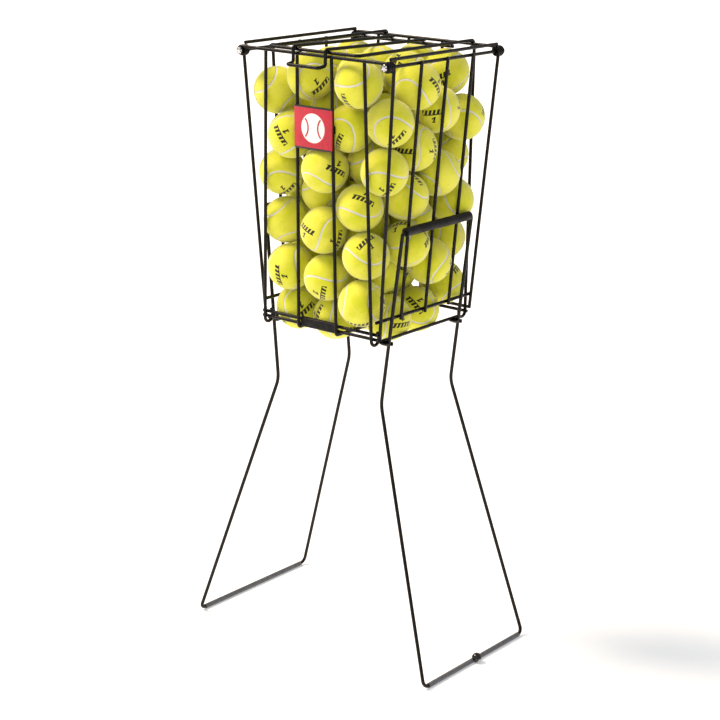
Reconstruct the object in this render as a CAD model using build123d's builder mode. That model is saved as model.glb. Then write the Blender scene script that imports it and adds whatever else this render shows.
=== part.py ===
from build123d import *
import os
from math import acos, asin, atan, ceil, cos, degrees, hypot, pi, radians, sin, sqrt, tan

os.makedirs("parts", exist_ok=True)

# A wire tennis-ball pick-up hopper, in millimetres. +Z is up, the badge faces -Y, and the two leg
# loops hang on the +X and -X sides. The origin is on the floor below the middle of the basket.

# driving sizes of the basket
top_half_x = 126.5          # middle to rim rod, across
top_half_y = 132.3          # middle to rim wire, front to back
base_half_x = 98.6          # middle to bottom side rail
rim_rod_z = 870.0           # height of the rim rods
base_z = 484.0              # height of the bottom side rails
wire_d = 4.8                # basket and lid wire
weld_bite = 0.1             # how far two welded wires sink into each other
coil_gap = 0.6              # between a rim rod and the eyelet coil round it
coil_turns = 2
post_base_x = 104.0         # x of a corner post at its bottom end
front_post_end_z = 488.5    # the front posts end inside the lower cross wires
rear_post_end_z = 493.5     # and the rear posts behind them
hook_r = 8.1                # mean radius of the hook at the bottom of an outer upright
hook_z = 488.6              # height of its centre
upright_inner_top = 30.0    # x of the inner uprights at the rim
upright_inner_base = 34.0   # and at the floor
upright_outer_top = 86.0
upright_outer_base = 97.0
side_wire_y_top = 60.0      # y of the outer side wires at the rim rod
side_wire_y_base = 57.0
lower_side_wire_z = 513.9   # height of the wire above each bottom side rail
cross_gap = 7.0             # between the two lower cross wires
cross_lift = 0.7            # gap between a bottom side rail and the lower cross wire over it
upper_rod_past = 1.8        # how far an upper side rod reaches past the last turn of each eyelet

# driving sizes of the lid
lid_half_x = 78.0
lid_front_y = -131.0
lid_cross_y = 84.0          # the wire that ties the lid's bars together near the hinge
lid_lift = 0.4              # gap between the closed lid and the front rim
latch_half_x = 28.0
latch_drop = 22.0           # how far the latch hangs below the lid
latch_lip = 14.0            # how far its finger lip reaches forward
hinge_fit = 0.08            # radial clearance of each hinge hook on the rear rim

# driving sizes of the legs
leg_wire_d = 5.2
pivot_z = 640.3
pivot_half_y = 82.0
knee_x, knee_half_y, knee_z = 95.0, 84.0, 388.6
foot_x, foot_half_y, foot_z = 213.7, 125.0, 3.3
foot_sleeve_d = 7.0
pivot_sleeve_d = 12.6
pivot_fit = 0.08            # radial clearance of the leg wire in its pivot sleeve
sleeve_fit = 0.03           # radial clearance of the sleeves that stay put on their wires
raised_gap = 0.6            # between the two foot sleeves when both legs are up as handles

ball_d = 67.0
ball_gap = 0.3              # kept between balls, and between a ball and a wire
fill_ratio = 0.585          # ball volume to basket volume when full
ball_layers = 7

wire_r = wire_d / 2
touch = wire_d - weld_bite  # between the centre lines of two wires that are welded together
coil_r = wire_d + coil_gap
coil_pitch = wire_d + 0.2   # advance of a coil in one turn
cross_lower_z = base_z + wire_d + cross_lift


def lerp(a, b, t):
    return a + (b - a) * t


def save(piece, name):
    piece.part.label = name
    export_step(piece.part, f"parts/{name}.step")


def wire_path(points, radii):
    """Straight runs joined by tangent arcs, drawn into the open BuildLine."""
    points = [Vector(*p) for p in points]
    if not isinstance(radii, (list, tuple)):
        radii = [radii] * (len(points) - 2)
    last = points[0]
    for before, corner, after, radius in zip(points, points[1:], points[2:], radii):
        u, v = (before - corner).normalized(), (after - corner).normalized()
        half_turn = (pi - acos(max(-1, min(1, u.dot(v))))) / 2
        reach = radius * tan(half_turn)
        start, end = corner + u * reach, corner + v * reach
        middle = corner + (u + v).normalized() * (radius / cos(half_turn) - radius)
        if (start - last).length > 1e-4:
            Line(last, start)
        ThreePointArc(start, middle, end)
        last = end
    Line(last, points[-1])


def coil_corners(x, z, radius, y, step, quarters, first):
    """Corners of a square spiral: with radius as its bend, it becomes a round coil along Y."""
    square = [(1, 1), (1, -1), (-1, -1), (-1, 1)]
    return [(x + radius * square[(first + k) % 4][0], y + step * k / 4,
             z + radius * square[(first + k) % 4][1]) for k in range(quarters)]


# rim, eyelets and corner posts: one bent wire in front and one at the rear
rim_z = rim_rod_z + coil_r
post_top_y = top_half_y - coil_pitch * coil_turns
post_top_x = top_half_x + coil_r
cross_y = 107.7
front_post_base_y = cross_y - touch - 0.4
rear_post_base_y = cross_y + touch
rear_post_base_x = lerp(post_base_x, post_top_x, (rear_post_end_z - front_post_end_z) / (rim_z - front_post_end_z))


def frame_wire(name, facing, base_x, base_y, end_z):
    coil = coil_corners(top_half_x, rim_rod_z, coil_r, -top_half_y, coil_pitch, 4 * coil_turns + 1, 0)
    points = [(0, -top_half_y, rim_z)] + coil + [(base_x, -base_y, end_z)]
    with BuildPart() as piece:
        with BuildLine() as path:
            wire_path(points, coil_r)
        with BuildSketch(Plane(origin=path.line @ 0, z_dir=path.line % 0)):
            Circle(wire_r)
        sweep(path=path.line)
        mirror(about=Plane.YZ)
        if facing > 0:
            mirror(about=Plane.XZ, mode=Mode.REPLACE)
    save(piece, name)


frame_wire("front_frame_wire", -1, post_base_x, front_post_base_y, front_post_end_z)
frame_wire("rear_frame_wire", 1, rear_post_base_x, rear_post_base_y, rear_post_end_z)

# the upright's place at any height, so that other pieces can seat on it
upright_top_y = top_half_y - touch
upright_base_y = cross_y + touch
floor_z = cross_lower_z - touch
upright_top_z = rim_z + 1.5


def upright_y(z):
    return lerp(upright_base_y, upright_top_y, (z - floor_z) / (upright_top_z - floor_z))


def upright_x(z, base, top):
    return lerp(base, top, (z - floor_z) / (upright_top_z - floor_z))


# inner U wires: front upright, floor bar and rear upright, bent round the lower cross wires
with BuildPart() as inner_u_wires:
    for side in (-1, 1):
        points = [(side * upright_inner_top, -upright_top_y, upright_top_z),
                  (side * upright_inner_base, -upright_base_y, floor_z),
                  (side * upright_inner_base, upright_base_y, floor_z),
                  (side * upright_inner_top, upright_top_y, upright_top_z)]
        with BuildLine() as path:
            wire_path(points, touch)
        with BuildSketch(Plane(origin=path.line @ 0, z_dir=path.line % 0)):
            Circle(wire_r)
        sweep(path=path.line)
save(inner_u_wires, "inner_u_wires")


def straight_wires(name, ends, diameter=wire_d):
    """Separate straight wires, each from one point to another."""
    with BuildPart() as piece:
        for start, end in ends:
            axis = Vector(*end) - Vector(*start)
            with BuildSketch(Plane(origin=start, z_dir=axis)):
                Circle(diameter / 2)
            extrude(amount=axis.length)
    save(piece, name)
    return piece


outer_ends = [((sx * upright_outer_top, sy * upright_top_y, upright_top_z),
               (sx * upright_outer_base, sy * upright_base_y, floor_z)) for sx in (-1, 1) for sy in (-1, 1)]

# each outer upright hooks round the lower cross wires, and its hook ends inside the basket
hook_y = upright_base_y - 2 * hook_r
hook_tip = (upright_outer_base, -hook_y - 3.0, hook_z + 9.5)
with BuildPart() as outer_uprights:
    with BuildLine() as path:
        wire_path([(upright_outer_top, -upright_top_y, upright_top_z),
                   (upright_outer_base, -upright_base_y, hook_z - hook_r),
                   (upright_outer_base, -hook_y, hook_z - hook_r),
                   (upright_outer_base, -hook_y, hook_z + 3.0), hook_tip], [hook_r, hook_r, 4.0])
    with BuildSketch(Plane(origin=path.line @ 0, z_dir=path.line % 0)):
        Circle(wire_r)
    sweep(path=path.line)
    mirror(about=Plane.YZ)
    mirror(about=Plane.XZ)
save(outer_uprights, "outer_uprights")

cross_half_x = post_base_x
cross_ends = [((-cross_half_x, sy * cross_y, z), (cross_half_x, sy * cross_y, z))
              for sy in (-1, 1) for z in (cross_lower_z, cross_lower_z + cross_gap)]
straight_wires("lower_cross_wires", cross_ends)

# the side rails meet the hooks of the outer uprights
hook_outside = hook_r + wire_r
rail_half_y = upright_base_y - hook_r - sqrt(hook_outside ** 2 - max(0, hook_z - base_z - wire_r) ** 2) + weld_bite
straight_wires("bottom_side_rails", [((sx * base_half_x, -rail_half_y, base_z),
                                      (sx * base_half_x, rail_half_y, base_z)) for sx in (-1, 1)])

# lower side wires stand inside the corner posts, just above the rails
post_rise = (lower_side_wire_z - front_post_end_z) / (rim_z - front_post_end_z)
lower_side_x = lerp(post_base_x, post_top_x, post_rise) - touch
lower_side_front = lerp(front_post_base_y, post_top_y, post_rise) + 4
lower_side_rear = lerp(rear_post_base_y, post_top_y, post_rise) + 4
straight_wires("lower_side_wires", [((sx * lower_side_x, -lower_side_front, lower_side_wire_z),
                                     (sx * lower_side_x, lower_side_rear, lower_side_wire_z))
                                    for sx in (-1, 1)])

# side wires: outside the lower side wire and the rim rod
side_lean = (top_half_x - lower_side_x) / (rim_rod_z - lower_side_wire_z)
side_offset = touch * sqrt(1 + side_lean ** 2)


def side_wire_x(z):
    return lower_side_x + side_offset + side_lean * (z - lower_side_wire_z)


side_wire_base = (side_wire_x(lower_side_wire_z - wire_r - 1.5), lower_side_wire_z - wire_r - 1.5)
side_wire_top = (side_wire_x(rim_rod_z + 3.5), rim_rod_z + 3.5)
side_ends = [((sx * side_wire_base[0], k * side_wire_y_base, side_wire_base[1]),
              (sx * side_wire_top[0], k * side_wire_y_top, side_wire_top[1]))
             for sx in (-1, 1) for k in (-1, 0, 1)]
straight_wires("side_wires", side_ends)

# rim rods run through the eyelet coils, with a push cap on each end
rod_half_y = top_half_y + wire_r + 2.2
straight_wires("rim_rods", [((sx * top_half_x, -rod_half_y, rim_rod_z),
                             (sx * top_half_x, rod_half_y, rim_rod_z)) for sx in (-1, 1)])
cap_d, cap_thick = 11.6, 3.0
with BuildPart() as rod_caps:
    for sx in (-1, 1):
        for sy in (-1, 1):
            face = Plane(origin=(sx * top_half_x, sy * (rod_half_y - 1.4), rim_rod_z), z_dir=(0, sy, 0))
            with BuildSketch(face):
                Circle(cap_d / 2)
            extrude(amount=cap_thick)
            with BuildSketch(face):
                Circle(wire_r + sleeve_fit)
            extrude(amount=1.4 + sleeve_fit, mode=Mode.SUBTRACT)
    outer_rims = rod_caps.edges().filter_by(GeomType.CIRCLE).filter_by(lambda e: abs(e.radius - cap_d / 2) < 0.01)
    fillet(outer_rims.filter_by(lambda e: abs(e.center().Y) > rod_half_y), radius=1.2)
save(rod_caps, "rod_caps")

# upper side rods lie on the eyelets at both ends
upper_rod_z = rim_z + touch
upper_rod_half_y = post_top_y + upper_rod_past
straight_wires("upper_side_rods", [((sx * (top_half_x + 0.5), -upper_rod_half_y, upper_rod_z),
                                    (sx * (top_half_x + 0.5), upper_rod_half_y, upper_rod_z)) for sx in (-1, 1)])

# pivot sleeves stand against the side wires and carry the legs
pivot_x = side_wire_x(pivot_z) + (wire_r + pivot_sleeve_d / 2 - weld_bite) * sqrt(1 + side_lean ** 2)
leg_top_bend = 5.0
pivot_sleeve_half = pivot_half_y - leg_top_bend - 0.4
with BuildPart() as pivot_sleeves:
    for sx in (-1, 1):
        with Locations(Plane(origin=(sx * pivot_x, 0, pivot_z), z_dir=(0, 1, 0))):
            Cylinder(pivot_sleeve_d / 2, 2 * pivot_sleeve_half)
            Cylinder(leg_wire_d / 2 + pivot_fit, 2 * pivot_sleeve_half + 2, mode=Mode.SUBTRACT)
    chamfer(pivot_sleeves.edges().filter_by(GeomType.CIRCLE).filter_by(
        lambda e: abs(e.radius - pivot_sleeve_d / 2) < 0.01), length=0.8)
save(pivot_sleeves, "pivot_sleeves")

# leg loops: half of each wire from the pivot to the foot, mirrored to the other half
leg_r = leg_wire_d / 2


def leg_line_x(z):
    """x of the straight stretch between pivot and knee."""
    return lerp(knee_x, pivot_x, (z - knee_z) / (pivot_z - knee_z))


def leg_line_y(z):
    return lerp(knee_half_y, pivot_half_y, (z - knee_z) / (pivot_z - knee_z))


foot_bar_half = foot_half_y - 10.5
for name, sx in (("left", -1), ("right", 1)):
    with BuildPart() as leg_wire:
        with BuildLine() as path:
            wire_path([(sx * pivot_x, 0, pivot_z), (sx * pivot_x, pivot_half_y, pivot_z),
                       (sx * knee_x, knee_half_y, knee_z), (sx * foot_x, foot_half_y, foot_z),
                       (sx * foot_x, 0, foot_z)], [leg_top_bend, 45.0, 9.0])
        with BuildSketch(Plane(origin=path.line @ 0, z_dir=path.line % 0)):
            Circle(leg_r)
        sweep(path=path.line)
        mirror(about=Plane.XZ)
    save(leg_wire, f"{name}_leg_wire")

    # the foot sleeve is flat underneath, where it stands on the floor
    with BuildPart() as foot_sleeve:
        with BuildSketch(Plane(origin=(sx * foot_x, -foot_bar_half, foot_z), z_dir=(0, 1, 0))):
            Circle(foot_sleeve_d / 2)
            Circle(leg_r + sleeve_fit, mode=Mode.SUBTRACT)
        extrude(amount=2 * foot_bar_half)
        split(bisect_by=Plane.XY, keep=Keep.TOP)
    save(foot_sleeve, f"{name}_foot_sleeve")

# raised angle: each foot sleeve comes to half a gap beside the middle
foot_arm = hypot(foot_x - pivot_x, pivot_z - foot_z)
seat_x = foot_sleeve_d / 2 + raised_gap / 2
raised_angle = 180 - degrees(asin((foot_x - pivot_x) / foot_arm)) + degrees(asin((pivot_x - seat_x) / foot_arm))

# the clip holds the right foot sleeve and has an open seat for the left one
clip_d, clip_lift, clip_shift = 15.0, 3.6, 4.0
with BuildPart() as handle_clip:
    with Locations((foot_x + clip_shift, 0, foot_z + clip_lift)):
        Sphere(clip_d / 2)
    split(bisect_by=Plane.XY.offset(0.3), keep=Keep.TOP)
    with Locations(Plane(origin=(foot_x, 0, foot_z), z_dir=(0, 1, 0))):
        Cylinder(foot_sleeve_d / 2 + sleeve_fit, 2 * clip_d, mode=Mode.SUBTRACT)
    turn = radians(180 - raised_angle)
    seat = Vector(foot_x + 2 * seat_x * cos(turn), 0, foot_z + 2 * seat_x * sin(turn))
    seat_r = foot_sleeve_d / 2 + 0.3
    with Locations(Plane(origin=seat, z_dir=(0, 1, 0))):
        Cylinder(seat_r, 2 * clip_d, mode=Mode.SUBTRACT)
    with Locations(Location((seat.X, 0, seat.Z), (0, -degrees(turn), 0))):
        Box(clip_d, 2 * clip_d, 2 * seat_r, align=(Align.MIN, Align.CENTER, Align.CENTER), mode=Mode.SUBTRACT)
save(handle_clip, "handle_clip")

# leg catches: wedges under the bottom side rails, notched for the leg wires
catch_top = base_z - wire_r + 0.02
catch_deep, catch_tail, catch_head = 5.2, 10.0, 6.0
with BuildPart() as leg_catches:
    for sx in (-1, 1):
        for leg_y in (-leg_line_y(base_z), leg_line_y(base_z)):
            notch_x = leg_line_x(catch_top - catch_deep) - leg_r - 0.5
            with BuildSketch(Plane(origin=(sx * base_half_x, leg_y, catch_top), x_dir=(0, 1, 0), z_dir=(1, 0, 0))):
                Polygon((-catch_tail, 0), (catch_head, 0), (catch_head, -catch_deep), (-3.5, -catch_deep),
                        (-catch_tail, -1.6), align=None)
            reach_out = leg_line_x(catch_top) + leg_r + 0.6 - base_half_x
            extrude(amount=sx * reach_out)
            with BuildSketch(Plane(origin=(sx * base_half_x, leg_y, catch_top), x_dir=(0, 1, 0), z_dir=(1, 0, 0))):
                Polygon((-catch_tail, 0), (catch_head, 0), (catch_head, -catch_deep), (-3.5, -catch_deep),
                        (-catch_tail, -1.6), align=None)
            extrude(amount=-sx * wire_r)
            with Locations((sx * notch_x, leg_y, catch_top - catch_deep / 2)):
                Box(40, leg_wire_d + 0.8, catch_deep * 3,
                    align=(Align.MIN if sx > 0 else Align.MAX, Align.CENTER, Align.CENTER), mode=Mode.SUBTRACT)
save(leg_catches, "leg_catches")

# base grip: one sleeve round both front lower cross wires, between the inner uprights
grip_half_x = upright_inner_base - wire_r - 0.4
grip_mid_z = cross_lower_z + cross_gap / 2
with BuildPart() as base_grip:
    with BuildSketch(Plane(origin=(-grip_half_x, -cross_y, grip_mid_z), x_dir=(0, 1, 0), z_dir=(1, 0, 0))):
        RectangleRounded(wire_d + 3.0, cross_gap + wire_d + 3.0, 3.4)
        with Locations((0, -cross_gap / 2), (0, cross_gap / 2)):
            Circle(wire_r + sleeve_fit, mode=Mode.SUBTRACT)
    extrude(amount=2 * grip_half_x)
save(base_grip, "base_grip")

# badge: a plate in front of the inner uprights and a strap that clamps it from behind
badge_wide, badge_high, badge_thick = 66.0, 60.0, 2.0
badge_z = 775.0
lean = atan((upright_top_y - upright_base_y) / (upright_top_z - floor_z))
badge_front = wire_r / cos(lean) + 0.02
badge_plane = Plane(origin=(0, -upright_y(badge_z) - badge_front, badge_z), x_dir=(1, 0, 0),
                    z_dir=(0, -cos(lean), -sin(lean)))
with BuildPart() as badge_plate:
    with BuildSketch(badge_plane):
        RectangleRounded(badge_wide, badge_high, 2.0)
    extrude(amount=badge_thick)
    fillet(badge_plate.faces().filter_by(lambda f: f.area > 0.8 * badge_wide * badge_high)
           .sort_by(Axis.Y)[0].edges(), radius=0.6)
save(badge_plate, "badge_plate")

strap_plane = badge_plane.offset(-2 * badge_front)
with BuildPart() as badge_strap:
    with BuildSketch(strap_plane):
        RectangleRounded(badge_wide, 12.0, 2.0)
    extrude(amount=-1.4)
    stud_half = upright_x(badge_z, upright_inner_base, upright_inner_top) - 9
    with BuildSketch(badge_plane):
        with Locations((-stud_half, 0), (stud_half, 0)):
            Circle(2.5)
    extrude(amount=-2 * badge_front)
save(badge_strap, "badge_strap")

# lid: the hinge axis is the rear rim wire
lid_hook_r = touch + weld_bite + hinge_fit
lid_rear_z = rim_z + lid_hook_r
lid_z = rim_z + wire_d + lid_lift
with BuildPart() as lid_frame_wire:
    hook = 2 * lid_hook_r
    side = [(lid_half_x, top_half_y - 1.0, rim_z - lid_hook_r), (lid_half_x, top_half_y + lid_hook_r, rim_z - lid_hook_r),
            (lid_half_x, top_half_y + lid_hook_r, rim_z + lid_hook_r), (lid_half_x, top_half_y - lid_hook_r, lid_rear_z),
            (lid_half_x, lid_front_y, lid_z), (0, lid_front_y, lid_z)]
    with BuildLine() as path:
        wire_path(side, [lid_hook_r, lid_hook_r, 30.0, 7.0])
    with BuildSketch(Plane(origin=path.line @ 0, z_dir=path.line % 0)):
        Circle(wire_r)
    sweep(path=path.line)
    mirror(about=Plane.YZ)
save(lid_frame_wire, "lid_frame_wire")

lid_bar_z = lerp(lid_z, lid_rear_z, (lid_cross_y - lid_front_y) / (top_half_y - lid_front_y))
straight_wires("lid_cross_wire", [((-lid_half_x - 2.0, lid_cross_y, lid_bar_z - touch),
                                   (lid_half_x + 2.0, lid_cross_y, lid_bar_z - touch))])

# latch: the two inner bars and the finger lip in front are one bent wire
latch_y = -top_half_y - wire_d - 0.9
latch_low_z = lid_z + touch - latch_drop
with BuildPart() as lid_latch_wire:
    with BuildLine() as path:
        wire_path([(latch_half_x, lid_cross_y + 3, lid_bar_z + 0.0), (latch_half_x, latch_y, lid_z + touch),
                   (latch_half_x, latch_y, latch_low_z), (latch_half_x, latch_y - latch_lip, latch_low_z - 1.5),
                   (0, latch_y - latch_lip, latch_low_z - 1.5)], [4.0, 4.0, 5.0])
    with BuildSketch(Plane(origin=path.line @ 0, z_dir=path.line % 0)):
        Circle(wire_r)
    sweep(path=path.line)
    mirror(about=Plane.YZ)
save(lid_latch_wire, "lid_latch_wire")

# the balls rest on each other and on the wires, and bulge a little between them
ball_r = ball_d / 2


def basket_obstacles():
    """Each wire that a ball can meet: two ends and a radius."""
    found = []
    for sx in (-1, 1):
        found.append(((sx * top_half_x, -rod_half_y, rim_rod_z), (sx * top_half_x, rod_half_y, rim_rod_z), wire_r))
        found.append(((sx * base_half_x, -rail_half_y, base_z), (sx * base_half_x, rail_half_y, base_z), wire_r))
        found.append(((sx * lower_side_x, -lower_side_front, lower_side_wire_z),
                      (sx * lower_side_x, lower_side_rear, lower_side_wire_z), wire_r))
        found.append(((sx * pivot_x, -pivot_half_y, pivot_z), (sx * pivot_x, pivot_half_y, pivot_z),
                      pivot_sleeve_d / 2))
        found.append(((sx * upright_inner_base, -upright_base_y, floor_z),
                      (sx * upright_inner_base, upright_base_y, floor_z), wire_r))
        for sy in (-1, 1):
            post_base_y = front_post_base_y if sy < 0 else rear_post_base_y
            found.append(((sx * post_top_x, sy * post_top_y, rim_rod_z),
                          (sx * post_base_x, sy * post_base_y, front_post_end_z), wire_r))
            found.append(((sx * upright_outer_base, sy * hook_y, hook_z - 3), (sx * upright_outer_base, sy * (hook_y + 3.0),
                          hook_z + 9.5), wire_r))
            found.append(((sx * upright_inner_top, sy * upright_top_y, upright_top_z),
                          (sx * upright_inner_base, sy * upright_base_y, floor_z), wire_r))
            # the leg wire when it stands and when it is raised
            knee = Vector(knee_x - pivot_x, 0, knee_z - pivot_z).rotate(Axis.Y, -raised_angle)
            for far in ((knee_x, knee_z), (pivot_x + knee.X, pivot_z + knee.Z)):
                found.append(((sx * pivot_x, sy * pivot_half_y, pivot_z), (sx * far[0], sy * knee_half_y, far[1]),
                              leg_r + ball_gap))
    for sy in (-1, 1):
        found.append(((-top_half_x, sy * top_half_y, rim_z), (top_half_x, sy * top_half_y, rim_z), wire_r))
    found += [(*ends, wire_r) for ends in outer_ends + side_ends + cross_ends]
    # the base grip, the badge strap and the latch reach further in than the wires they sit on
    for z in (cross_lower_z, cross_lower_z + cross_gap):
        found.append(((-grip_half_x, -cross_y, z), (grip_half_x, -cross_y, z), wire_r + 1.5))
    for k in range(-5, 6):
        z = badge_z + k * badge_high / 10
        y = -upright_y(z) + (wire_r + 1.0 if abs(k) < 2 else -wire_r)
        found.append(((-badge_wide / 2, y, z), (badge_wide / 2, y, z), 1.2))
    latch_reach = wire_r + 2 * ball_gap
    found.append(((-latch_half_x, latch_y, latch_low_z), (latch_half_x, latch_y, latch_low_z), latch_reach))
    for sx in (-1, 1):
        found.append(((sx * latch_half_x, latch_y, lid_z), (sx * latch_half_x, latch_y, latch_low_z), latch_reach))
    return found


def push_apart(balls, obstacles, highest):
    """Moves every ball out of the balls and wires it has sunk into, and returns the deepest sinking."""
    deepest = 0.0
    clear = ball_d + ball_gap * 1.5
    for i, a in enumerate(balls):
        for b in balls[:i]:
            dx, dy, dz = a[0] - b[0], a[1] - b[1], a[2] - b[2]
            if abs(dx) < clear and abs(dy) < clear and abs(dz) < clear:
                gap = sqrt(dx * dx + dy * dy + dz * dz)
                if gap < clear:
                    deepest = max(deepest, clear - gap)
                    share = (clear - gap) / (2 * gap)
                    for k, d in enumerate((dx, dy, dz)):
                        a[k] += d * share
                        b[k] -= d * share
    for a in balls:
        for start, run, length_2, reach in obstacles:
            t = sum((a[k] - start[k]) * run[k] for k in range(3)) / length_2
            t = max(0.0, min(1.0, t))
            away = [a[k] - start[k] - run[k] * t for k in range(3)]
            gap = sqrt(away[0] ** 2 + away[1] ** 2 + away[2] ** 2)
            if gap < reach:
                deepest = max(deepest, reach - gap)
                for k in range(3):
                    a[k] += away[k] * (reach - gap) / gap
        if a[2] > highest:
            deepest = max(deepest, a[2] - highest)
            a[2] = highest
        # no ball leaves the basket
        a[2] = max(a[2], floor_z + 0.35 * ball_r)
        up = (a[2] - base_z) / (rim_rod_z - base_z)
        for k, half in ((0, lerp(post_base_x, post_top_x, up)), (1, lerp(upright_base_y, upright_top_y, up))):
            a[k] = max(-half + 0.6 * ball_r, min(half - 0.6 * ball_r, a[k]))
    return deepest


def settle_balls():
    obstacles = []
    for start, end, radius in basket_obstacles():
        run = [end[k] - start[k] for k in range(3)]
        obstacles.append((start, run, sum(r * r for r in run), ball_r + radius + ball_gap * 1.5))
    depth = rim_rod_z - base_z
    base_area, top_area = 4 * base_half_x * upright_base_y, 4 * top_half_x * upright_top_y
    volume = depth / 3 * (base_area + top_area + sqrt(base_area * top_area))
    count = int(fill_ratio * volume / (pi / 6 * ball_d ** 3))
    balls, seed = [], 77777
    for i in range(count):
        place = []
        for half in (base_half_x, hook_y):
            seed = (seed * 16807) % 2147483647          # a repeatable shuffle
            place.append((seed / 2147483647 * 2 - 1) * (half - ball_r))
        balls.append([place[0], place[1], base_z + ball_r + i * depth * 1.3 / count])
    highest = lid_bar_z - touch - wire_r - ball_r - 2 * ball_gap
    drop = 2.0
    for step in range(600):
        for ball in balls:
            ball[2] -= drop
        drop *= 0.993
        for again in range(2):
            push_apart(balls, obstacles, highest if step > 350 else 2 * highest)
    for step in range(3000):
        if push_apart(balls, obstacles, highest) < 0.3 * ball_gap:
            break
    return sorted(balls, key=lambda ball: ball[2])


balls = settle_balls()
per_layer = ceil(len(balls) / ball_layers)
for layer in range(ball_layers):
    with BuildPart() as ball_layer:
        for ball in balls[layer * per_layer:(layer + 1) * per_layer]:
            with Locations(tuple(ball)):
                Sphere(ball_r)
    save(ball_layer, f"balls_layer_{layer + 1}")

print("pivot_x", round(pivot_x, 3), "raised_angle", round(raised_angle, 3), "rim_z", rim_z, "balls", len(balls),
      "lid_z", lid_z, "latch_low_z", latch_low_z, "top ball", balls[-1][2] + ball_r)
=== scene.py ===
import math
import random

import bpy
from mathutils import Euler, Matrix, Vector


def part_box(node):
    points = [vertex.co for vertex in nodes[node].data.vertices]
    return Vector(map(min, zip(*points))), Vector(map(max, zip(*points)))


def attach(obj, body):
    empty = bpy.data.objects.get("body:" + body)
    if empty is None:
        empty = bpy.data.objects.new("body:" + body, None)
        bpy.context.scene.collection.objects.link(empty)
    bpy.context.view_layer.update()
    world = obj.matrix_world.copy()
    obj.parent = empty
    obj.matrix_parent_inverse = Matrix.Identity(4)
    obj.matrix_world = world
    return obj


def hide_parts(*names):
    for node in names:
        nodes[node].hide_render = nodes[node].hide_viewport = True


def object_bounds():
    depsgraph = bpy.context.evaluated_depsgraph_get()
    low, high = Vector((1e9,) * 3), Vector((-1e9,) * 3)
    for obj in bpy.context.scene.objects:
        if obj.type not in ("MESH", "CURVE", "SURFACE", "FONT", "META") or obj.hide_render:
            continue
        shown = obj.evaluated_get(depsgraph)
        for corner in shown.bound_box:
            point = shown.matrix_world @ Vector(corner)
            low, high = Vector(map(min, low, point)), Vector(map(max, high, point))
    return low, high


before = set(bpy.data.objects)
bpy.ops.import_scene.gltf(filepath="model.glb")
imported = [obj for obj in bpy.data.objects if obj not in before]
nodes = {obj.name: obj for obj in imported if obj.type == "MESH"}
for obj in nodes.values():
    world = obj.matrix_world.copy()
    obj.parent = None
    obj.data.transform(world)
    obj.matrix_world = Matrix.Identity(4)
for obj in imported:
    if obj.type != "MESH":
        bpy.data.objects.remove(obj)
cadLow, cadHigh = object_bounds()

# camera at the hopper's front right, a little above its rim
camera = {"place": (1.6462, -2.1391, 1.2062), "turn": 37.74, "tilt": 16.29, "roll": 1.2, "lens": 95.75}


def aimCamera():
    turn, tilt, roll = (math.radians(camera[key]) for key in ("turn", "tilt", "roll"))
    forward = Vector((-math.sin(turn) * math.cos(tilt), math.cos(turn) * math.cos(tilt), -math.sin(tilt)))
    level = Vector((math.cos(turn), math.sin(turn), 0))
    up = level.cross(forward)
    right = math.cos(roll) * level + math.sin(roll) * up
    top = -math.sin(roll) * level + math.cos(roll) * up
    data = bpy.data.cameras.new("studioCamera")
    data.lens = camera["lens"]
    data.clip_start, data.clip_end = 0.05, 50
    eye = bpy.data.objects.new("studioCamera", data)
    bpy.context.scene.collection.objects.link(eye)
    eye.matrix_world = Matrix((
        (right.x, top.x, -forward.x, camera["place"][0]),
        (right.y, top.y, -forward.y, camera["place"][1]),
        (right.z, top.z, -forward.z, camera["place"][2]),
        (0, 0, 0, 1)))
    bpy.context.scene.camera = eye


aimCamera()
print("camera set")

# material helpers


def newMaterial(name):
    made = bpy.data.materials.new(name)
    made.use_nodes = True
    return made, made.node_tree.nodes, made.node_tree.links, made.node_tree.nodes["Principled BSDF"]


def wire(links, source, target):
    links.new(source, target)


def mathNode(tree, kind, first, second=None, third=None, clamp=False):
    node = tree.nodes.new("ShaderNodeMath")
    node.operation = kind
    node.use_clamp = clamp
    for socket, value in zip(node.inputs, (first, second, third)):
        if value is None:
            continue
        if isinstance(value, (int, float)):
            socket.default_value = value
        else:
            tree.links.new(value, socket)
    return node.outputs[0]


def noiseNode(tree, vector, scale, detail=3.0, rough=0.55):
    node = tree.nodes.new("ShaderNodeTexNoise")
    node.inputs["Scale"].default_value = scale
    node.inputs["Detail"].default_value = detail
    node.inputs["Roughness"].default_value = rough
    if vector is not None:
        tree.links.new(vector, node.inputs["Vector"])
    return node.outputs["Fac"]


def rangeNode(tree, value, low, high, toLow=0.0, toHigh=1.0, smooth=True):
    node = tree.nodes.new("ShaderNodeMapRange")
    node.interpolation_type = "SMOOTHSTEP" if smooth else "LINEAR"
    for name, number in (("From Min", low), ("From Max", high), ("To Min", toLow), ("To Max", toHigh)):
        node.inputs[name].default_value = number
    tree.links.new(value, node.inputs["Value"])
    return node.outputs["Result"]


def mixColor(tree, mask, under, over, blend="MIX"):
    node = tree.nodes.new("ShaderNodeMix")
    node.data_type = "RGBA"
    node.blend_type = blend
    for socket, value in ((node.inputs["Factor"], mask), (node.inputs["A"], under), (node.inputs["B"], over)):
        if isinstance(value, (int, float)):
            socket.default_value = value
        elif isinstance(value, tuple):
            socket.default_value = (*value, 1)
        else:
            tree.links.new(value, socket)
    return node.outputs["Result"]


def bumpNode(tree, height, strength, distance, normal=None):
    node = tree.nodes.new("ShaderNodeBump")
    node.inputs["Strength"].default_value = strength
    node.inputs["Distance"].default_value = distance
    tree.links.new(height, node.inputs["Height"])
    if normal is not None:
        tree.links.new(normal, node.inputs["Normal"])
    return node.outputs["Normal"]


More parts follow.
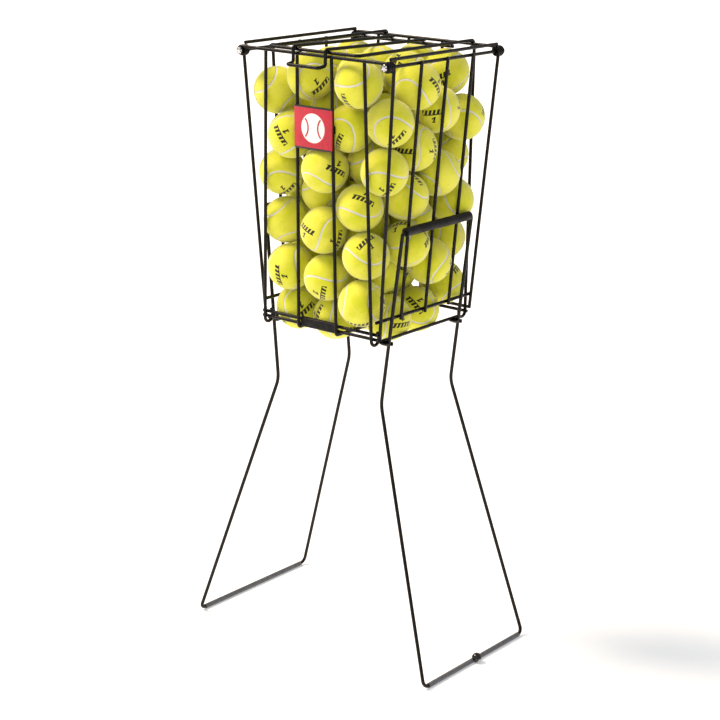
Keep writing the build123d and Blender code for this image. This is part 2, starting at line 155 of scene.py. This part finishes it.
def objectPoint(tree):
    return tree.nodes.new("ShaderNodeTexCoord").outputs["Object"]


def newGroup(name, inputs, outputs):
    group = bpy.data.node_groups.new(name, "ShaderNodeTree")
    for label, kind, value in inputs:
        socket = group.interface.new_socket(name=label, in_out="INPUT", socket_type=kind)
        if value is not None:
            socket.default_value = value
    for label, kind in outputs:
        group.interface.new_socket(name=label, in_out="OUTPUT", socket_type=kind)
    return group, group.nodes.new("NodeGroupInput"), group.nodes.new("NodeGroupOutput")


def useGroup(tree, group, **values):
    node = tree.nodes.new("ShaderNodeGroup")
    node.node_tree = group
    for label, value in values.items():
        if isinstance(value, (int, float)):
            node.inputs[label].default_value = value
        else:
            tree.links.new(value, node.inputs[label])
    return node


# chips and rubs: paint worn on edges and in scattered spots
def makeWearGroup():
    group, inside, outside = newGroup(
        "coatingWear",
        [("Point", "NodeSocketVector", None), ("Spots", "NodeSocketFloat", 90.0), ("Amount", "NodeSocketFloat", 0.5)],
        [("Wear", "NodeSocketFloat"), ("Rub", "NodeSocketFloat")])
    geometry = group.nodes.new("ShaderNodeNewGeometry")
    edge = rangeNode(group, geometry.outputs["Pointiness"], 0.53, 0.62)
    spots = group.nodes.new("ShaderNodeTexNoise")
    spots.inputs["Detail"].default_value = 5.0
    spots.inputs["Roughness"].default_value = 0.7
    group.links.new(inside.outputs["Point"], spots.inputs["Vector"])
    group.links.new(inside.outputs["Spots"], spots.inputs["Scale"])
    fleck = rangeNode(group, spots.outputs["Fac"], 0.70, 0.74)
    edgeBroken = mathNode(group, "MULTIPLY", edge, rangeNode(group, spots.outputs["Fac"], 0.48, 0.62))
    both = mathNode(group, "MAXIMUM", fleck, edgeBroken)
    group.links.new(mathNode(group, "MULTIPLY", both, inside.outputs["Amount"]), outside.inputs["Wear"])
    rub = noiseNode(group, inside.outputs["Point"], 24.0, 4.0, 0.6)
    group.links.new(rangeNode(group, rub, 0.35, 0.7), outside.inputs["Rub"])
    return group


# grain: fine height for moulded, coated and drawn surfaces
def makeGrainGroup():
    group, inside, outside = newGroup(
        "surfaceGrain",
        [("Point", "NodeSocketVector", None), ("Scale", "NodeSocketFloat", 900.0),
         ("Coarse", "NodeSocketFloat", 0.4)],
        [("Height", "NodeSocketFloat")])
    fine = group.nodes.new("ShaderNodeTexNoise")
    fine.inputs["Detail"].default_value = 2.0
    group.links.new(inside.outputs["Point"], fine.inputs["Vector"])
    group.links.new(inside.outputs["Scale"], fine.inputs["Scale"])
    wide = group.nodes.new("ShaderNodeTexNoise")
    wide.inputs["Detail"].default_value = 1.0
    group.links.new(inside.outputs["Point"], wide.inputs["Vector"])
    group.links.new(mathNode(group, "MULTIPLY", inside.outputs["Scale"], 0.22), wide.inputs["Scale"])
    lifted = mathNode(group, "MULTIPLY", wide.outputs["Fac"], inside.outputs["Coarse"])
    group.links.new(mathNode(group, "ADD", fine.outputs["Fac"], lifted), outside.inputs["Height"])
    return group


wearGroup = makeWearGroup()
grainGroup = makeGrainGroup()


def coatedWire(name, look):
    made, _, links, shader = newMaterial(name)
    tree = made.node_tree
    point = objectPoint(tree)
    worn = useGroup(tree, wearGroup, Point=point, Spots=look["spots"], Amount=look["wear"])
    grain = useGroup(tree, grainGroup, Point=point, Scale=look["grain"], Coarse=0.8)
    tone = mixColor(tree, worn.outputs["Rub"], look["color"], look["rubbed"])
    wire(links, mixColor(tree, worn.outputs["Wear"], tone, look["bare"]), shader.inputs["Base Color"])
    rough = rangeNode(tree, worn.outputs["Rub"], 0, 1, look["rough"] - 0.06, look["rough"] + 0.10)
    wire(links, mathNode(tree, "ADD", rough, mathNode(tree, "MULTIPLY", worn.outputs["Wear"], 0.25)),
         shader.inputs["Roughness"])
    wire(links, bumpNode(tree, grain.outputs["Height"], look["bump"], 0.0004), shader.inputs["Normal"])
    shader.inputs["Specular IOR Level"].default_value = look["shine"]
    return made


powderCoat = {"color": (0.0022, 0.0022, 0.0025), "rubbed": (0.0045, 0.0045, 0.005), "bare": (0.05, 0.05, 0.053),
              "rough": 0.30, "grain": 1100.0, "bump": 0.25, "spots": 210.0, "wear": 0.3, "shine": 0.16}
legCoat = dict(powderCoat, spots=150.0, wear=0.5, rough=0.26, shine=0.2)
wireMaterial = coatedWire("blackWireCoat", powderCoat)
legMaterial = coatedWire("legWireCoat", legCoat)


def rubberSleeve(name, look):
    made, _, links, shader = newMaterial(name)
    tree = made.node_tree
    point = objectPoint(tree)
    worn = useGroup(tree, wearGroup, Point=point, Spots=look["spots"], Amount=look["wear"])
    grain = useGroup(tree, grainGroup, Point=point, Scale=look["grain"], Coarse=0.5)
    # drawn lines run along the tube, which lies along Y or X
    stretch = tree.nodes.new("ShaderNodeMapping")
    stretch.inputs["Scale"].default_value = look["stretch"]
    links.new(point, stretch.inputs["Vector"])
    lines = noiseNode(tree, stretch.outputs["Vector"], 60.0, 2.0)
    tone = mixColor(tree, rangeNode(tree, lines, 0.35, 0.7), look["color"], look["streak"])
    wire(links, mixColor(tree, worn.outputs["Wear"], tone, look["scuff"]), shader.inputs["Base Color"])
    wire(links, rangeNode(tree, worn.outputs["Rub"], 0, 1, look["rough"] - 0.08, look["rough"] + 0.1),
         shader.inputs["Roughness"])
    height = mathNode(tree, "ADD", grain.outputs["Height"], mathNode(tree, "MULTIPLY", lines, 1.4))
    wire(links, bumpNode(tree, height, look["bump"], 0.0005), shader.inputs["Normal"])
    shader.inputs["Specular IOR Level"].default_value = look["shine"]
    return made


pivotSleeve = {"color": (0.0035, 0.0035, 0.004), "streak": (0.008, 0.008, 0.0085), "scuff": (0.04, 0.04, 0.04),
               "rough": 0.50, "shine": 0.16, "grain": 1400.0, "bump": 0.4, "spots": 160.0, "wear": 0.3,
               "stretch": (9.0, 0.6, 9.0)}
footSleeve = dict(pivotSleeve, color=(0.078, 0.083, 0.097), streak=(0.105, 0.110, 0.124), scuff=(0.20, 0.20, 0.21),
                  rough=0.52, shine=0.45, wear=0.3, spots=230.0, bump=0.2)
gripSleeve = dict(pivotSleeve, stretch=(0.6, 9.0, 9.0))
pivotMaterial = rubberSleeve("pivotSleeveRubber", pivotSleeve)
footMaterial = rubberSleeve("footSleeveVinyl", footSleeve)
gripMaterial = rubberSleeve("gripSleeveRubber", gripSleeve)


def mouldedPlastic(name, look):
    made, _, links, shader = newMaterial(name)
    tree = made.node_tree
    point = objectPoint(tree)
    worn = useGroup(tree, wearGroup, Point=point, Spots=look["spots"], Amount=look["wear"])
    grain = useGroup(tree, grainGroup, Point=point, Scale=look["grain"], Coarse=0.3)
    wire(links, mixColor(tree, worn.outputs["Wear"], look["color"], look["scuff"]), shader.inputs["Base Color"])
    wire(links, rangeNode(tree, worn.outputs["Rub"], 0, 1, look["rough"] - 0.06, look["rough"] + 0.08),
         shader.inputs["Roughness"])
    wire(links, bumpNode(tree, grain.outputs["Height"], look["bump"], 0.0003), shader.inputs["Normal"])
    shader.inputs["Specular IOR Level"].default_value = look["shine"]
    return made


catchPlastic = {"color": (0.004, 0.004, 0.0045), "scuff": (0.05, 0.05, 0.05), "rough": 0.42, "shine": 0.18,
                "grain": 1600.0,
                "bump": 0.35, "spots": 300.0, "wear": 0.4}
clipPlastic = dict(catchPlastic, rough=0.16, bump=0.12, shine=0.5, wear=0.25)
catchMaterial = mouldedPlastic("catchPlastic", catchPlastic)
clipMaterial = mouldedPlastic("clipPlastic", clipPlastic)

# plated push caps
capPlating = {"color": (0.72, 0.72, 0.74), "tarnish": (0.32, 0.31, 0.30), "rough": 0.18}


def platedCap():
    made, _, links, shader = newMaterial("capPlating")
    tree = made.node_tree
    point = objectPoint(tree)
    worn = useGroup(tree, wearGroup, Point=point, Spots=500.0, Amount=1.0)
    tone = mixColor(tree, worn.outputs["Rub"], capPlating["color"], capPlating["tarnish"])
    wire(links, tone, shader.inputs["Base Color"])
    wire(links, rangeNode(tree, worn.outputs["Rub"], 0, 1, capPlating["rough"], 0.42), shader.inputs["Roughness"])
    grain = useGroup(tree, grainGroup, Point=point, Scale=2200.0, Coarse=0.5)
    wire(links, bumpNode(tree, grain.outputs["Height"], 0.2, 0.0003), shader.inputs["Normal"])
    shader.inputs["Metallic"].default_value = 1.0
    return made


capMaterial = platedCap()
print("wire, sleeve, plastic and plating materials made")

# materials on the wires, sleeves and small fittings
finishes = {
    "front_frame_wire": wireMaterial, "rear_frame_wire": wireMaterial, "inner_u_wires": wireMaterial,
    "outer_uprights": wireMaterial, "side_wires": wireMaterial, "lower_side_wires": wireMaterial,
    "lower_cross_wires": wireMaterial, "bottom_side_rails": wireMaterial, "rim_rods": wireMaterial,
    "upper_side_rods": wireMaterial, "lid_frame_wire": wireMaterial, "lid_latch_wire": wireMaterial,
    "lid_cross_wire": wireMaterial, "left_leg_wire": legMaterial, "right_leg_wire": legMaterial,
    "pivot_sleeves": pivotMaterial, "base_grip": gripMaterial, "left_foot_sleeve": footMaterial,
    "right_foot_sleeve": footMaterial, "leg_catches": catchMaterial, "handle_clip": clipMaterial,
    "rod_caps": capMaterial, "badge_strap": wireMaterial, "badge_plate": wireMaterial}


def paint(piece, material):
    if not piece.material_slots:
        piece.data.materials.append(material)
    for place in piece.material_slots:
        place.material = material


for nodeName, finish in finishes.items():
    paint(nodes[nodeName], finish)
print("frame painted")


def deselectAll():
    bpy.ops.object.select_all(action="DESELECT")


def onlySelect(piece):
    deselectAll()
    piece.select_set(True)
    bpy.context.view_layer.objects.active = piece


def settlePlace(piece):
    onlySelect(piece)
    bpy.ops.object.transform_apply(location=True, rotation=True, scale=True)


# badge: a red enamelled plate with rolled black edges and a raised ball emblem
badge = {"wide": 0.066, "high": 0.060, "thick": 0.0020, "lean": 2.22, "round": 0.0020,
         "edge": 0.0026, "edgeLift": 0.0004,
         "disc": 0.0205, "discLift": 0.0005, "ribWide": 0.0024, "ribLift": 0.0003, "arcCentre": 0.0270,
         "arcRadius": 0.0185, "arcSweep": 88, "red": (0.52, 0.005, 0.028), "redDeep": (0.40, 0.004, 0.022),
         "black": (0.006, 0.006, 0.007), "white": (0.86, 0.86, 0.85)}


def enamel(name, color, deep, rough):
    made, _, links, shader = newMaterial(name)
    tree = made.node_tree
    point = objectPoint(tree)
    worn = useGroup(tree, wearGroup, Point=point, Spots=420.0, Amount=0.35)
    cloud = rangeNode(tree, noiseNode(tree, point, 55.0, 4.0), 0.3, 0.75)
    tone = mixColor(tree, cloud, color, deep)
    wire(links, mixColor(tree, worn.outputs["Wear"], tone, (0.25, 0.24, 0.23)), shader.inputs["Base Color"])
    wire(links, rangeNode(tree, worn.outputs["Rub"], 0, 1, rough - 0.06, rough + 0.12), shader.inputs["Roughness"])
    grain = useGroup(tree, grainGroup, Point=point, Scale=900.0, Coarse=1.2)
    wire(links, bumpNode(tree, grain.outputs["Height"], 0.12, 0.0003), shader.inputs["Normal"])
    return made


def pickFaces(piece, test):
    bpy.ops.object.mode_set(mode="OBJECT")
    for element in list(piece.data.vertices) + list(piece.data.edges) + list(piece.data.polygons):
        element.select = False
    for face in piece.data.polygons:
        face.select = bool(test(face))
    bpy.ops.object.mode_set(mode="EDIT")
    bpy.ops.mesh.select_mode(type="FACE")


def spunRib(name, centre, radius, start, sweep, wide, low, lift):
    deselectAll()
    angle = math.radians(start)
    bpy.ops.mesh.primitive_plane_add(size=1, location=(0, 0, 0))
    rib = bpy.context.object
    rib.name = name
    rib.scale = (wide, lift, 1)
    rib.rotation_euler = (math.radians(90), 0, 0)
    settlePlace(rib)
    rib.location = (radius, 0, low + lift / 2)
    settlePlace(rib)
    rib.rotation_euler = (0, 0, angle)
    settlePlace(rib)
    rib.location = (centre, 0, 0)
    settlePlace(rib)
    bpy.ops.object.mode_set(mode="EDIT")
    bpy.ops.mesh.select_all(action="SELECT")
    bpy.ops.mesh.spin(steps=32, angle=-math.radians(sweep), center=(centre, 0, 0), axis=(0, 0, 1))
    bpy.ops.mesh.select_all(action="SELECT")
    bpy.ops.mesh.remove_doubles(threshold=0.00001)
    bpy.ops.mesh.normals_make_consistent(inside=False)
    bpy.ops.object.mode_set(mode="OBJECT")
    return rib


def finishBevel(piece, width, segments=2, angle=40):
    onlySelect(piece)
    rim = piece.modifiers.new("rim", "BEVEL")
    rim.width = width
    rim.segments = segments
    rim.limit_method = "ANGLE"
    rim.angle_limit = math.radians(angle)
    bpy.ops.object.modifier_apply(modifier=rim.name)
    bpy.ops.object.shade_smooth_by_angle(angle=math.radians(35))


def modelBadge():
    red = enamel("badgeRed", badge["red"], badge["redDeep"], 0.30)
    black = enamel("badgeBlack", badge["black"], (0.012, 0.012, 0.013), 0.36)
    white = enamel("badgeWhite", badge["white"], (0.78, 0.78, 0.76), 0.32)
    deselectAll()
    bpy.ops.mesh.primitive_plane_add(size=1)
    plate = bpy.context.object
    plate.name = "badgePlate"
    plate.scale = (badge["wide"], badge["high"], 1)
    settlePlace(plate)
    bpy.ops.object.mode_set(mode="EDIT")
    bpy.ops.mesh.select_all(action="SELECT")
    bpy.ops.mesh.bevel(offset=badge["round"], segments=5, affect="VERTICES")
    bpy.ops.mesh.select_all(action="SELECT")
    bpy.ops.mesh.extrude_region_move(TRANSFORM_OT_translate={"value": (0, 0, badge["thick"] - badge["edgeLift"])})
    for side in (-1, 1):
        bpy.ops.mesh.select_all(action="SELECT")
        bpy.ops.mesh.bisect(plane_co=(0, side * (badge["high"] / 2 - badge["edge"]), 0), plane_no=(0, 1, 0))
    top = badge["thick"] - badge["edgeLift"]
    pickFaces(plate, lambda f: f.normal.z > 0.9 and f.center.z > top * 0.9
              and abs(f.center.y) > badge["high"] / 2 - badge["edge"])
    bpy.ops.mesh.extrude_region_move(TRANSFORM_OT_translate={"value": (0, 0, badge["edgeLift"])})
    bpy.ops.mesh.select_all(action="SELECT")
    bpy.ops.mesh.normals_make_consistent(inside=False)
    bpy.ops.object.mode_set(mode="OBJECT")
    plate.data.materials.append(red)
    plate.data.materials.append(black)
    for face in plate.data.polygons:
        face.material_index = int(abs(face.center.y) > badge["high"] / 2 - badge["edge"] - 0.0001)
    finishBevel(plate, 0.00025)
    for face in plate.data.polygons:
        face.material_index = int(abs(face.center.y) > badge["high"] / 2 - badge["edge"] - 0.0001)

    deselectAll()
    bpy.ops.mesh.primitive_circle_add(vertices=72, radius=badge["disc"], fill_type="NGON",
                                      location=(0, 0, top - 0.0002))
    disc = bpy.context.object
    settlePlace(disc)
    bpy.ops.object.mode_set(mode="EDIT")
    bpy.ops.mesh.select_all(action="SELECT")
    bpy.ops.mesh.extrude_region_move(TRANSFORM_OT_translate={"value": (0, 0, badge["discLift"] + 0.0002)})
    bpy.ops.mesh.select_all(action="SELECT")
    bpy.ops.mesh.normals_make_consistent(inside=False)
    bpy.ops.object.mode_set(mode="OBJECT")
    disc.data.materials.append(white)
    finishBevel(disc, 0.0002)
    ribs = []
    for side in (-1, 1):
        middle = 180 if side > 0 else 0
        rib = spunRib("emblemRib", side * badge["arcCentre"], badge["arcRadius"], middle - badge["arcSweep"] / 2,
                      badge["arcSweep"], badge["ribWide"], top + badge["discLift"] - 0.0001,
                      badge["ribLift"] + 0.0001)
        rib.data.materials.append(red)
        finishBevel(rib, 0.0001, 1)
        ribs.append(rib)
    deselectAll()
    for piece in (plate, disc, *ribs):
        piece.select_set(True)
    bpy.context.view_layer.objects.active = plate
    bpy.ops.object.join()
    # the back of the plate lies where the CAD plate has its back
    low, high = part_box("badge_plate")
    lean = math.radians(badge["lean"])
    back = Vector(((low[0] + high[0]) / 2, (low[1] + high[1]) / 2, (low[2] + high[2]) / 2))
    back += Vector((0, math.cos(lean), math.sin(lean))) * badge["thick"] / 2
    plate.rotation_euler = (math.radians(90) + lean, 0, 0)
    plate.location = back
    settlePlace(plate)
    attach(plate, "basket")
    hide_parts("badge_plate")


modelBadge()
print("badge made")

# push caps: domed sprung washers pressed on the rod ends, dimpled between their tongues
pushCap = {"profile": ((0.0058, 0.0), (0.0058, 0.0008), (0.0055, 0.0014), (0.0048, 0.0019), (0.0038, 0.0024),
                       (0.0026, 0.0027), (0.0022, 0.0029), (0.0018, 0.0030), (0.0010, 0.0030)),
           "steps": 36, "tongues": 6, "dent": 0.0006, "band": 0.0043}


def modelCap():
    deselectAll()
    bpy.ops.mesh.primitive_circle_add(vertices=pushCap["steps"], radius=pushCap["profile"][0][0], fill_type="NGON")
    cap = bpy.context.object
    for material in (capMaterial, wireMaterial):
        cap.data.materials.append(material)
    bpy.ops.object.mode_set(mode="EDIT")
    bpy.ops.mesh.select_all(action="SELECT")
    before, height = pushCap["profile"][0]
    for radius, rise in pushCap["profile"][1:]:
        bpy.ops.mesh.extrude_region_move(TRANSFORM_OT_translate={"value": (0, 0, rise - height)})
        size = radius / before
        bpy.ops.transform.resize(value=(size, size, 1), center_override=(0, 0, rise))
        before, height = radius, rise
    bpy.ops.mesh.poke()
    bpy.ops.mesh.select_all(action="SELECT")
    bpy.ops.mesh.normals_make_consistent(inside=False)
    # painted shade: the outer band and the bottom of each dent take the black wire coat, standing in for the dark
    # shaded ring round the cap and the shade in the dents
    cap.active_material_index = 1
    pickFaces(cap, lambda face: math.hypot(face.center.x, face.center.y) > pushCap["band"])
    bpy.ops.object.material_slot_assign()
    dentTurn = 360 / pushCap["tongues"]

    def between(face):
        reach = math.hypot(face.center.x, face.center.y)
        turn = math.degrees(math.atan2(face.center.y, face.center.x)) % dentTurn
        return face.normal.z > 0.3 and 0.0027 < reach < 0.0052 and turn < dentTurn * 0.34

    pickFaces(cap, between)
    bpy.ops.mesh.inset(thickness=0.00018)
    bpy.ops.transform.translate(value=(0, 0, -pushCap["dent"]))
    # painted shade: the sunk dent bottoms get the black wire coat
    bpy.ops.object.material_slot_assign()
    bpy.ops.object.mode_set(mode="OBJECT")
    bpy.ops.object.shade_smooth_by_angle(angle=math.radians(32))
    return cap


def placeCaps():
    low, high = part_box("rod_caps")
    centreX = (high[0] - low[0]) / 2 - pushCap["profile"][0][0]
    middleZ = (low[2] + high[2]) / 2
    first = modelCap()
    caps = []
    for sideX in (-1, 1):
        for sideY in (-1, 1):
            cap = first.copy()
            cap.data = first.data.copy()
            bpy.context.scene.collection.objects.link(cap)
            cap.rotation_euler = (math.radians(90 if sideY < 0 else -90), math.radians(17 * sideX + 9 * sideY), 0)
            edge = high[1] if sideY > 0 else low[1]
            cap.location = (sideX * centreX, edge - sideY * pushCap["profile"][-1][1], middleZ)
            settlePlace(cap)
            caps.append(cap)
    bpy.data.objects.remove(first)
    deselectAll()
    for cap in caps:
        cap.select_set(True)
    bpy.context.view_layer.objects.active = caps[0]
    bpy.ops.object.join()
    joined = bpy.context.object
    joined.name = "pushCaps"
    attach(joined, "basket")
    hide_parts("rod_caps")


placeCaps()
print("push caps made")

# tennis balls: felt with a sunk rubber seam and a printed number
ball = {"radius": 0.0335, "detail": 5, "seamHalf": 0.0014, "seamDepth": 0.00055, "curveLong": 0.75,
        "seed": 11, "felt": (0.62, 0.64, 0.020), "feltPale": (0.74, 0.72, 0.075), "feltDeep": (0.42, 0.52, 0.008),
        "seam": (0.66, 0.66, 0.60), "print": (0.008, 0.008, 0.010)}


printFacings = ((0.7071, -0.7071, 0), (0.7071, 0.7071, 0))


def seamPoints(count=360):
    big = ball["curveLong"]
    small = 1 - big
    rise = 2 * math.sqrt(big * small)
    return [Vector((big * math.cos(t) + small * math.cos(3 * t), big * math.sin(t) - small * math.sin(3 * t),
                    rise * math.sin(2 * t))).normalized()
            for t in (2 * math.pi * k / count for k in range(count))]


def modelBall():
    deselectAll()
    bpy.ops.mesh.primitive_ico_sphere_add(subdivisions=ball["detail"], radius=ball["radius"])
    piece = bpy.context.object
    mesh = piece.data
    curve = seamPoints()
    seam = mesh.attributes.new("seam", "FLOAT", "POINT")
    spot = mesh.attributes.new("spot", "FLOAT_VECTOR", "POINT")
    for vertex in mesh.vertices:
        way = vertex.co.normalized()
        away = math.acos(min(1.0, max(way.dot(p) for p in curve))) * ball["radius"]
        seam.data[vertex.index].value = away
        spot.data[vertex.index].vector = way
        vertex.co = way * (ball["radius"] - 0.0002 - ball["seamDepth"] * math.exp(-(away / ball["seamHalf"]) ** 2))
    onlySelect(piece)
    bpy.ops.object.shade_smooth()
    return piece


def feltMaterial():
    made, _, links, shader = newMaterial("tennisFelt")
    tree = made.node_tree
    point = objectPoint(tree)
    seam = tree.nodes.new("ShaderNodeAttribute")
    seam.attribute_name = "seam"
    spot = tree.nodes.new("ShaderNodeAttribute")
    spot.attribute_name = "spot"
    ragged = mathNode(tree, "ADD", seam.outputs["Fac"],
                      mathNode(tree, "MULTIPLY", noiseNode(tree, point, 700.0, 2.0), 0.0007))
    seamMask = rangeNode(tree, ragged, ball["seamHalf"] + 0.00005, ball["seamHalf"] + 0.00065, 1, 0)

    # the printed mark lies on the middle of each broad lobe of the felt
    print2d = []
    for facing, along in zip(printFacings, ((0, 0, 1), (0.7071, -0.7071, 0))):
        across = Vector(facing).cross(Vector(along))
        sides = []
        for way in (facing, along, tuple(across)):
            dot = tree.nodes.new("ShaderNodeVectorMath")
            dot.operation = "DOT_PRODUCT"
            links.new(spot.outputs["Vector"], dot.inputs[0])
            dot.inputs[1].default_value = way
            sides.append(dot.outputs["Value"])
        here, u, v = sides
        u = mathNode(tree, "MULTIPLY", u, ball["radius"] * 1000)
        v = mathNode(tree, "MULTIPLY", v, ball["radius"] * 1000)

        def inside(value, centre, half):
            offset = mathNode(tree, "ABSOLUTE", mathNode(tree, "SUBTRACT", value, centre))
            return rangeNode(tree, offset, half - 0.15, half + 0.15, 1, 0)

        def both(first, second):
            return mathNode(tree, "MULTIPLY", first, second)

        slant = mathNode(tree, "ADD", u, mathNode(tree, "MULTIPLY", v, -0.35))
        bars = rangeNode(tree, mathNode(tree, "PINGPONG", slant, 2.9), 1.75, 2.05, 1, 0)
        underline = both(inside(u, 0, 15.5), inside(v, 0.9, 0.75))
        band = mathNode(tree, "MAXIMUM", both(both(inside(u, 0, 15.5), inside(v, 3.8, 3.7)), bars), underline)
        stem = both(inside(slant, 2.6, 1.3), inside(v, -6.6, 4.2))
        flag = both(inside(mathNode(tree, "ADD", v, mathNode(tree, "MULTIPLY", u, -0.6)), -3.6, 0.95),
                    inside(u, -1.4, 1.5))
        foot = both(inside(u, -1.1, 2.6), inside(v, -10.2, 0.7))
        mark = mathNode(tree, "MAXIMUM", mathNode(tree, "MAXIMUM", band, stem), mathNode(tree, "MAXIMUM", flag, foot))
        print2d.append(both(mark, rangeNode(tree, here, 0.45, 0.5)))
    printMask = mathNode(tree, "MAXIMUM", *print2d)
    ink = mathNode(tree, "MULTIPLY", printMask,
                   rangeNode(tree, noiseNode(tree, point, 1300.0, 3.0), 0.28, 0.42, 0.55, 1.0))

    fuzz = noiseNode(tree, point, 1500.0, 4.0, 0.7)
    nap = noiseNode(tree, point, 260.0, 3.0, 0.6)
    cloud = noiseNode(tree, point, 36.0, 3.0, 0.55)
    felt = mixColor(tree, rangeNode(tree, cloud, 0.3, 0.72), ball["felt"], ball["feltPale"])
    felt = mixColor(tree, rangeNode(tree, nap, 0.58, 0.8, 0, 0.6), felt, ball["feltDeep"])
    felt = mixColor(tree, rangeNode(tree, fuzz, 0.55, 0.8, 0, 0.5), felt, ball["feltPale"])
    color = mixColor(tree, seamMask, felt, ball["seam"])
    wire(links, mixColor(tree, ink, color, ball["print"]), shader.inputs["Base Color"])
    wire(links, rangeNode(tree, seamMask, 0, 1, 0.92, 0.55), shader.inputs["Roughness"])
    height = mathNode(tree, "ADD", mathNode(tree, "MULTIPLY", fuzz, 0.5), nap)
    height = mathNode(tree, "MULTIPLY", height, rangeNode(tree, seamMask, 0, 1, 1.0, 0.08))
    fluffy = bumpNode(tree, height, 0.45, 0.0009)
    dip = rangeNode(tree, seam.outputs["Fac"], ball["seamHalf"] * 0.6, ball["seamHalf"] * 1.5, 0, 1)
    wire(links, bumpNode(tree, dip, 0.6, 0.0006, fluffy), shader.inputs["Normal"])
    shader.inputs["Sheen Weight"].default_value = 0.6
    shader.inputs["Sheen Roughness"].default_value = 0.5
    shader.inputs["Sheen Tint"].default_value = (1.0, 0.95, 0.72, 1)
    shader.inputs["Specular IOR Level"].default_value = 0.15
    return made


def ballCentres(nodeName):
    deselectAll()
    copy = nodes[nodeName].copy()
    copy.data = nodes[nodeName].data.copy()
    copy.parent = None
    bpy.context.scene.collection.objects.link(copy)
    onlySelect(copy)
    bpy.ops.object.mode_set(mode="EDIT")
    bpy.ops.mesh.select_all(action="SELECT")
    bpy.ops.mesh.remove_doubles(threshold=0.00002)
    bpy.ops.mesh.separate(type="LOOSE")
    bpy.ops.object.mode_set(mode="OBJECT")
    parts = list(bpy.context.selected_objects)
    centres = []
    for part in parts:
        corners = [Vector(c) for c in part.bound_box]
        centres.append((corners[0] + corners[6]) / 2)
    for part in parts:
        bpy.data.objects.remove(part)
    return centres


feltLook = feltMaterial()
modelled = modelBall()
modelled.data.materials.append(feltLook)
shuffle = random.Random(ball["seed"])
for nodeName in sorted(name for name in nodes if name.startswith("balls_layer")):
    layer = []
    for centre in sorted(ballCentres(nodeName), key=lambda c: (round(c.z, 4), c.x)):
        one = modelled.copy()
        one.data = modelled.data.copy()
        bpy.context.scene.collection.objects.link(one)
        outward = Vector((centre.x, centre.y, 0)).normalized()
        tries = [Euler([shuffle.uniform(0, 2 * math.pi) for _ in range(3)]).to_matrix() for _ in range(3)]
        turned = max(tries, key=lambda turn: max((turn @ Vector(way)).dot(outward) for way in printFacings)).to_4x4()
        one.data.transform(Matrix.Translation(centre) @ turned)
        layer.append(one)
    deselectAll()
    for one in layer:
        one.select_set(True)
    bpy.context.view_layer.objects.active = layer[0]
    bpy.ops.object.join()
    joined = bpy.context.object
    joined.name = nodeName.replace("balls_layer_", "feltBalls")
    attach(joined, "basket")
    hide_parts(nodeName)
bpy.data.objects.remove(modelled)
print("balls made")

# floor, lights and world
studio = {"floor": (0.93, 0.95, 1.0), "floorPale": (0.95, 0.96, 1.0), "floorWide": 30, "floorDrop": 0.0005,
          "world": 0.56, "glow": 0.24, "sun": 3.8, "sunTurn": -62, "sunRise": 52, "sunSoft": 22,
          "fill": 5.0, "fillWide": 1.4, "fillPlace": (0.6, -2.4, 1.9), "fillAim": (0, 0, 0.6),
          "warm": (1.0, 0.82, 0.62)}


def makeStudio():
    deselectAll()
    bpy.ops.mesh.primitive_plane_add(size=studio["floorWide"], location=(0, 0, cadLow.z - studio["floorDrop"]))
    floor = bpy.context.object
    floor.name = "studioFloor"
    made, _, links, shader = newMaterial("studioFloor")
    tree = made.node_tree
    soft = rangeNode(tree, noiseNode(tree, objectPoint(tree), 3.0), 0.3, 0.7)
    wire(links, mixColor(tree, soft, studio["floor"], studio["floorPale"]), shader.inputs["Base Color"])
    shader.inputs["Roughness"].default_value = 0.8
    shader.inputs["Emission Color"].default_value = (1, 1, 1, 1)
    shader.inputs["Emission Strength"].default_value = studio["glow"]
    floor.data.materials.append(made)
    data = bpy.data.lights.new("windowSun", "SUN")
    data.energy = studio["sun"]
    data.color = studio["warm"]
    data.angle = math.radians(studio["sunSoft"])
    sun = bpy.data.objects.new("windowSun", data)
    bpy.context.scene.collection.objects.link(sun)
    sun.rotation_euler = (math.radians(90 - studio["sunRise"]), 0, math.radians(studio["sunTurn"]))
    data = bpy.data.lights.new("sideFill", "AREA")
    data.size = studio["fillWide"]
    data.energy = studio["fill"]
    lamp = bpy.data.objects.new("sideFill", data)
    bpy.context.scene.collection.objects.link(lamp)
    place = Vector(studio["fillPlace"])
    lamp.location = place
    lamp.rotation_euler = (Vector(studio["fillAim"]) - place).to_track_quat("-Z", "Y").to_euler()
    world = bpy.data.worlds.new("paleStudio")
    world.use_nodes = True
    world.node_tree.nodes["Background"].inputs["Color"].default_value = (1, 1, 1, 1)
    world.node_tree.nodes["Background"].inputs["Strength"].default_value = studio["world"]
    bpy.context.scene.world = world
    bpy.context.scene.view_settings.view_transform = "Standard"


makeStudio()
print("studio set")
